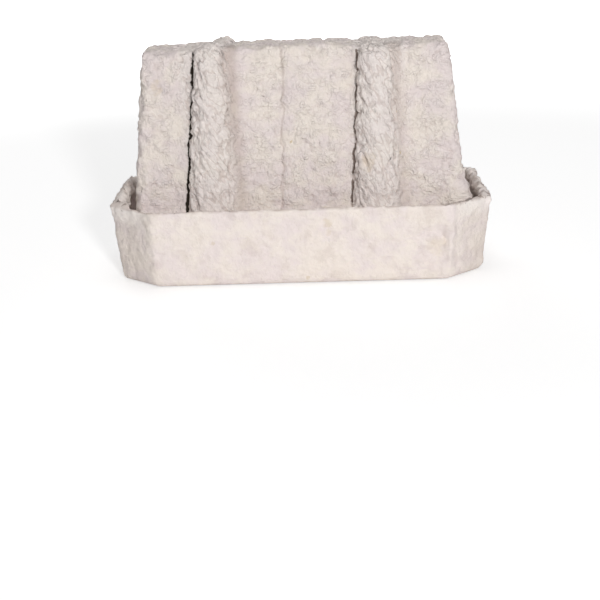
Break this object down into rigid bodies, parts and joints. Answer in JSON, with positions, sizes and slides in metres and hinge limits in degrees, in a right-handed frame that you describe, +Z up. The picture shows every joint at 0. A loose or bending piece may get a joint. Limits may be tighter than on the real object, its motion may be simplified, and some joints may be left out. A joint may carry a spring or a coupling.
{
  "type": "moulded pulp bottle shipper insert",
  "caption": "One-piece moulded pulp top insert for a bottle shipper: ribbed neck tower on an octagonal deck inside a flared skirt.",
  "frame": {"origin": "centre of the underside of the deck, on which the insert rests", "axes": "+X along the row of two necks, +Y from front to back, +Z up through the tower"},
  "size_m": [0.2518, 0.1278, 0.1535],
  "materials": {
    "moulded_pulp": "matt, felted, wrinkled"
  },
  "bodies": {
    "root": {"pulp_insert": "moulded_pulp"}
  },
  "joints": []
}
